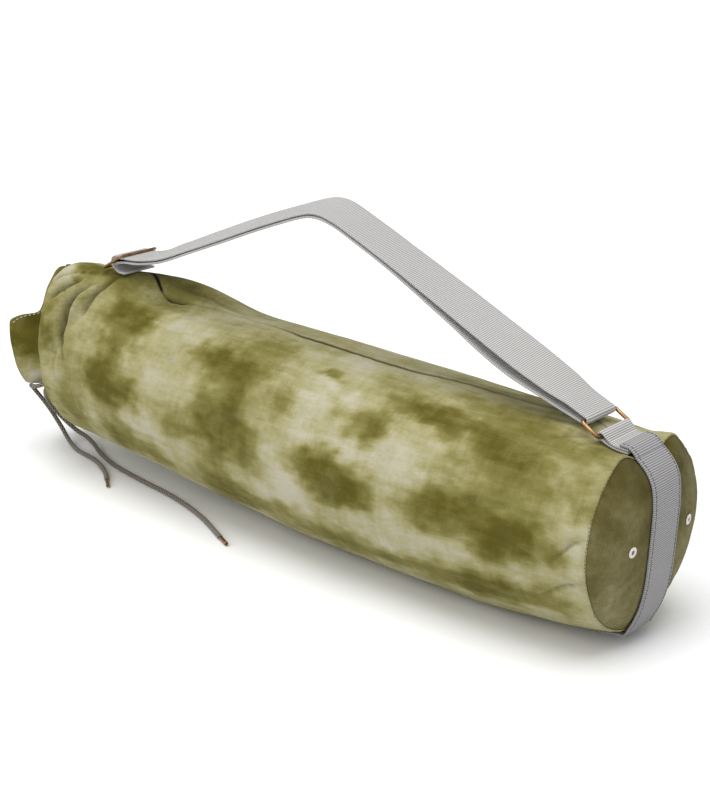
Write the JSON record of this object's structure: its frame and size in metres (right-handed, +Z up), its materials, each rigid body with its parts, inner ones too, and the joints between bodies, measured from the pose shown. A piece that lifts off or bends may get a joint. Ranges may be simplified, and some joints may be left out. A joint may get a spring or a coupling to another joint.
{
  "type": "yoga mat bag",
  "caption": "Cylindrical cloth mat bag lying on its belly, drawcord mouth, round base, webbing shoulder strap with ring and slider.",
  "frame": {"origin": "centre of the bag's bounding box at the surface it lies on, without the loose cord tails", "axes": "+X along the bag from the mouth to the round base, +Z up, the side with the loose cord tails is -Y"},
  "size_m": [0.7211, 0.176, 0.2962],
  "materials": {
    "canvas": "cotton twill canvas, tie-dyed olive, cream and grey-green",
    "webbing": "grey ribbed webbing",
    "copper": "antique copper plated wire",
    "cord": "round grey-brown braid",
    "eyelet": "white enamelled eyelets"
  },
  "bodies": {
    "root": {"body_panel": "canvas", "base_panel": "canvas", "cord_channel": "canvas", "eyelet_near": "eyelet", "eyelet_far": "eyelet", "cord_loop": "cord", "cord_tail_a": "cord", "cord_tail_b": "cord", "aglet_a": "copper", "aglet_b": "copper", "base_webbing": "webbing", "ring_tab": "webbing", "ring": "copper", "slider": "copper", "shoulder_strap": "webbing"}
  },
  "joints": []
}
